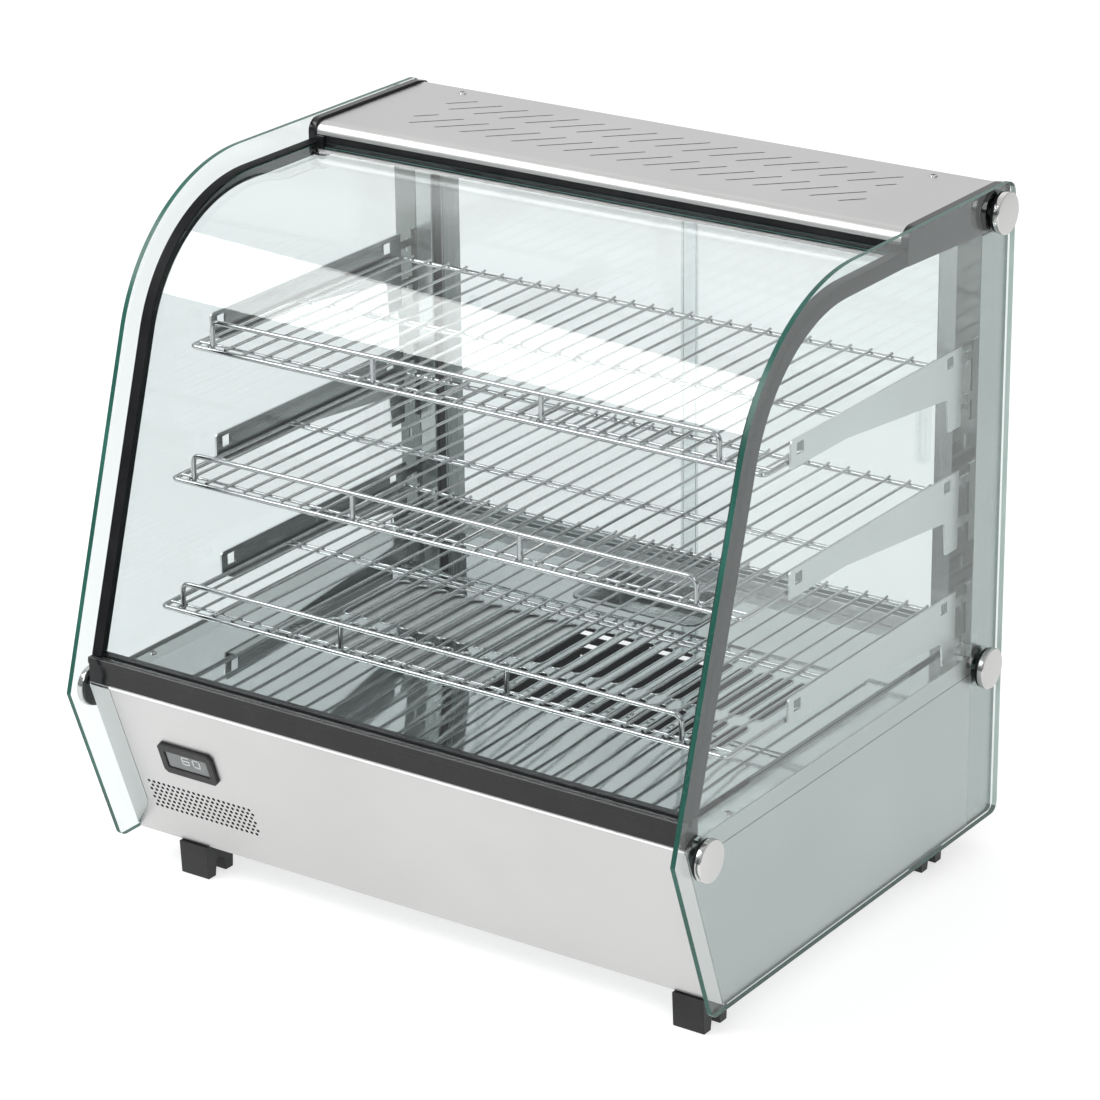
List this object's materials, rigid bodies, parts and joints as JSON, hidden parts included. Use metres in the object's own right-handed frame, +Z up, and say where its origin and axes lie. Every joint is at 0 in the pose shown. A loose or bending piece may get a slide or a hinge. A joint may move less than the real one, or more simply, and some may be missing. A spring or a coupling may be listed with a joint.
{
  "type": "hot food display case",
  "caption": "Countertop heated food display with frameless side glasses, a curved front glass, wire shelves on hooked arms, a slotted warm deck and sliding rear doors.",
  "frame": {"origin": "middle of the case's footprint, on the worktop it stands on", "axes": "+X to the case's right as a customer sees it from the front, +Y towards the rear doors, +Z up"},
  "size_m": [0.697, 0.572, 0.67],
  "materials": {
    "stainless_steel": "fine brushed, satin",
    "cap_steel": "turned satin face, polished side",
    "polished_steel": "mirror polished",
    "chromed_wire": "bright plated",
    "galvanised_steel": "dull zinc",
    "heater_tube": "dark oxidised sheath",
    "black_plastic": "semi-gloss black",
    "black_rubber": "matt black extrusion",
    "clear_glass": "clear float glass with green edges",
    "lamp_cover": "white diffuser"
  },
  "bodies": {
    "case": {"base_shell": "stainless_steel", "front_panel": "stainless_steel", "rear_panel": "stainless_steel", "top_panel": "stainless_steel", "ceiling_panel": "stainless_steel", "deck": "polished_steel", "heat_shield": "galvanised_steel", "fan_motor": "galvanised_steel", "thermostat_body": "galvanised_steel", "heater_element": "heater_tube", "display_bezel": "black_plastic", "switch_housing": "black_plastic", "cable_gland": "black_plastic", "front_rail": "black_plastic", "door_track_bottom": "black_plastic", "lamp": "lamp_cover", "front_top_seal": "black_rubber", "front_glass": "clear_glass", "foot_front_left": "black_plastic", "foot_rear_left": "black_plastic", "head_trim_left": "black_plastic", "side_glass_left": "clear_glass", "front_seal_left": "black_rubber", "rear_post_left": "stainless_steel", "glass_cap_front_left": "cap_steel", "glass_washer_front_left": "black_rubber", "glass_cap_rear_left": "cap_steel", "glass_washer_rear_left": "black_rubber", "glass_cap_top_left": "cap_steel", "glass_washer_top_left": "black_rubber", "shelf_arm_1_left": "stainless_steel", "shelf_arm_2_left": "stainless_steel", "shelf_arm_3_left": "stainless_steel", "foot_front_right": "black_plastic", "foot_rear_right": "black_plastic", "head_trim_right": "black_plastic", "side_glass_right": "clear_glass", "front_seal_right": "black_rubber", "rear_post_right": "stainless_steel", "glass_cap_front_right": "cap_steel", "glass_washer_front_right": "black_rubber", "glass_cap_rear_right": "cap_steel", "glass_washer_rear_right": "black_rubber", "glass_cap_top_right": "cap_steel", "glass_washer_top_right": "black_rubber", "shelf_arm_1_right": "stainless_steel", "shelf_arm_2_right": "stainless_steel", "shelf_arm_3_right": "stainless_steel"},
    "rear_door_left": {"rear_door_left": "clear_glass", "door_pull_left": "clear_glass"},
    "rear_door_right": {"rear_door_right": "clear_glass", "door_pull_right": "clear_glass"},
    "thermostat_knob": {"thermostat_knob": "black_plastic"},
    "power_rocker": {"power_rocker": "black_plastic"},
    "lamp_rocker": {"lamp_rocker": "black_plastic"},
    "water_tray": {"water_tray": "stainless_steel"},
    "wire_shelf_1": {"wire_shelf_1": "chromed_wire"},
    "wire_shelf_2": {"wire_shelf_2": "chromed_wire"},
    "wire_shelf_3": {"wire_shelf_3": "chromed_wire"},
    "fan_impeller": {"fan_impeller": "galvanised_steel"}
  },
  "joints": [
    {"name": "rear_door_left_slide", "type": "slide", "parent": "case", "child": "rear_door_left", "axis": [1, 0, 0], "range_m": [0, 0.27]},
    {"name": "rear_door_right_slide", "type": "slide", "parent": "case", "child": "rear_door_right", "axis": [-1, 0, 0], "range_m": [0, 0.27]},
    {"name": "thermostat_turn", "type": "hinge", "parent": "case", "child": "thermostat_knob", "pos_m": [0.12, 0.28, 0.13], "axis": [0, -1, 0], "range_deg": [0, 270]},
    {"name": "power_rock", "type": "hinge", "parent": "case", "child": "power_rocker", "pos_m": [0.1925, 0.272, 0.13], "axis": [1, 0, 0], "range_deg": [0, 16]},
    {"name": "lamp_rock", "type": "hinge", "parent": "case", "child": "lamp_rocker", "pos_m": [0.2175, 0.272, 0.13], "axis": [1, 0, 0], "range_deg": [0, 16]},
    {"name": "water_tray_lift", "type": "slide", "parent": "case", "child": "water_tray", "axis": [0, 0, 1], "range_m": [0, 0.035]},
    {"name": "wire_shelf_1_lift", "type": "slide", "parent": "case", "child": "wire_shelf_1", "axis": [0, 0, 1], "range_m": [0, 0.03]},
    {"name": "wire_shelf_2_lift", "type": "slide", "parent": "case", "child": "wire_shelf_2", "axis": [0, 0, 1], "range_m": [0, 0.03]},
    {"name": "wire_shelf_3_lift", "type": "slide", "parent": "case", "child": "wire_shelf_3", "axis": [0, 0, 1], "range_m": [0, 0.03]},
    {"name": "fan_spin", "type": "hinge", "parent": "case", "child": "fan_impeller", "pos_m": [-0.235, 0.01, 0.09], "axis": [0, 0, 1], "continuous": true}
  ]
}
